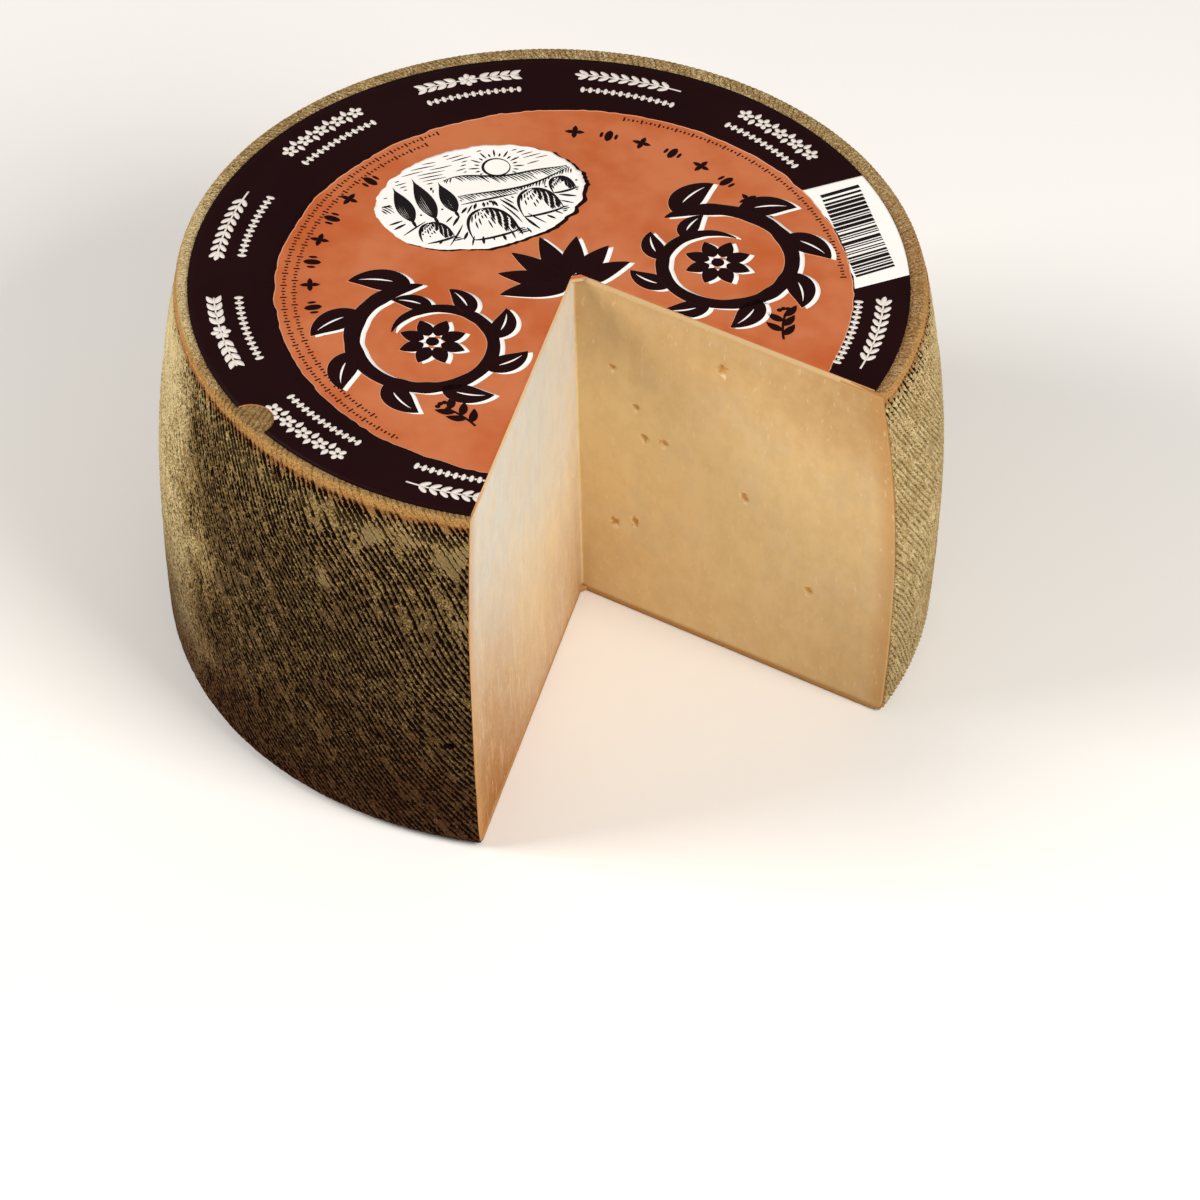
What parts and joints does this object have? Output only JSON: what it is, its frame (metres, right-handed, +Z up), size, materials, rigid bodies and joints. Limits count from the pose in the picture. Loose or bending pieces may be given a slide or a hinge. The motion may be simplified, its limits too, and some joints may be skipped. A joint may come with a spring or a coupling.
{
  "type": "cheese wheel",
  "caption": "Wheel of hard cheese with a brown rind pressed in oblique strokes, a wedge cut out that shows the pale inside, and a round paper label on top.",
  "frame": {"origin": "the wheel's axis where it meets the surface that it stands on", "axes": "+Z up along the wheel's axis, -Y towards the middle of the missing wedge"},
  "size_m": [0.1957, 0.1798, 0.1039],
  "materials": {
    "rind": "matte",
    "paste": "satin",
    "label": "satin"
  },
  "bodies": {
    "root": {"cheese": "rind", "label": "label"}
  },
  "joints": []
}
